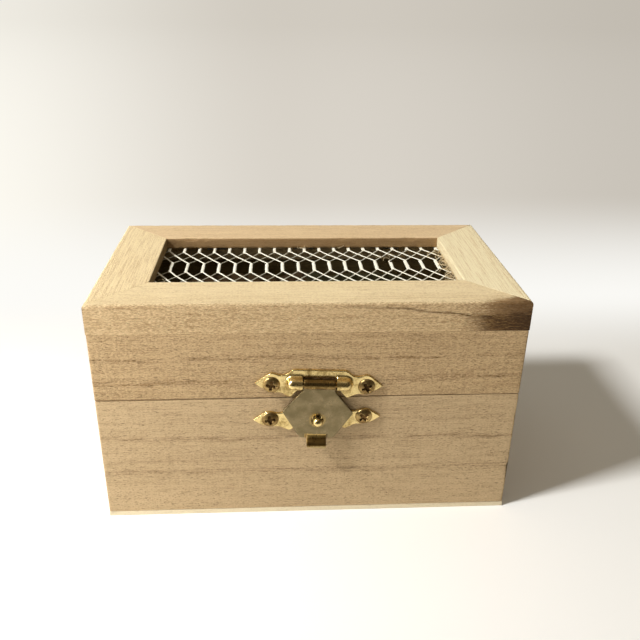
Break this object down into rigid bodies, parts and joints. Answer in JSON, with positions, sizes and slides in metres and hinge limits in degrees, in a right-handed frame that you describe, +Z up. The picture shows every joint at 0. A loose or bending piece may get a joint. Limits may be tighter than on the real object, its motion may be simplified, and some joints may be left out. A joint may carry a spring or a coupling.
{
  "type": "jack in the box",
  "caption": "Small wooden box with a meshed window in its hinged lid, a brass hasp, and a sprung doll that rises as the lid opens.",
  "frame": {"origin": "middle of the wooden box's underside, on the surface it stands on", "axes": "+X to the right along the box's width, +Y to the back, where the hinges are, +Z up"},
  "size_m": [0.116, 0.0722, 0.0671],
  "materials": {
    "wall_wood": "bare sanded paulownia, horizontal grain",
    "frame_wood": "bare sanded paulownia, one dark heartwood corner",
    "plywood": "bare plywood",
    "dowel_wood": "bare birch dowel",
    "mesh_strand": "cream lacquered wire",
    "gilt_brass": "bright gilt stamped sheet",
    "flap_metal": "dull plated sheet with round polishing marks",
    "screw_brass": "dull brass",
    "steel": "zinc-plated wire",
    "sleeve_cloth": "cotton, striped",
    "ruff_cloth": "pleated cotton",
    "hat_felt": "near-black felt",
    "braid": "woven gold braid",
    "bell_brass": "polished",
    "head_paint": "satin paint on turned wood",
    "nose_paint": "gloss paint on a wooden bead"
  },
  "bodies": {
    "box": {"bottom_panel": "plywood", "base_front_wall": "wall_wood", "base_back_wall": "wall_wood", "base_left_wall": "wall_wood", "base_right_wall": "wall_wood", "catch_plate": "gilt_brass", "catch_stud": "gilt_brass", "hasp_base_screws": "screw_brass", "left_hinge_base_leaf": "gilt_brass", "left_hinge_pin": "gilt_brass", "right_hinge_base_leaf": "gilt_brass", "right_hinge_pin": "gilt_brass", "hinge_base_screws": "screw_brass", "spring_board": "plywood", "lower_spring_staples": "steel", "spring": "steel", "cloth_sleeve": "sleeve_cloth"},
    "lid": {"lid_front_wall": "wall_wood", "lid_back_wall": "wall_wood", "lid_left_wall": "wall_wood", "lid_right_wall": "wall_wood", "lid_frame_front": "frame_wood", "lid_frame_back": "frame_wood", "lid_frame_left": "frame_wood", "lid_frame_right": "frame_wood", "window_mesh": "mesh_strand", "mesh_staples": "steel", "hasp_top_plate": "gilt_brass", "hasp_pin": "gilt_brass", "hasp_lid_screws": "screw_brass", "left_hinge_lid_leaf": "gilt_brass", "right_hinge_lid_leaf": "gilt_brass", "hinge_lid_screws": "screw_brass"},
    "flap": {"hasp_flap": "flap_metal"},
    "jack": {"seat_disc": "plywood", "upper_spring_staples": "steel", "ruff_collar": "ruff_cloth", "neck_dowel": "dowel_wood", "head": "head_paint", "nose": "nose_paint", "hat": "hat_felt", "hat_band": "braid", "hat_bells": "bell_brass"}
  },
  "joints": [
    {"name": "lid_open", "type": "hinge", "parent": "box", "child": "lid", "pos_m": [0, 0.03405, 0.0392], "axis": [-1, 0, 0], "range_deg": [0, 110]},
    {"name": "flap_turn", "type": "hinge", "parent": "lid", "child": "flap", "pos_m": [0.0023, -0.0342, 0.0441], "axis": [-0.9991, 0, 0.0419], "range_deg": [0, 165]},
    {"name": "jack_rise", "type": "slide", "parent": "box", "child": "jack", "axis": [0, 0, 1], "range_m": [0, 0.052], "deforming": ["spring", "cloth_sleeve"]}
  ],
  "couplings": [
    {"joint": "jack_rise", "follows": "lid_open", "m_per_rad": 0.027}
  ]
}
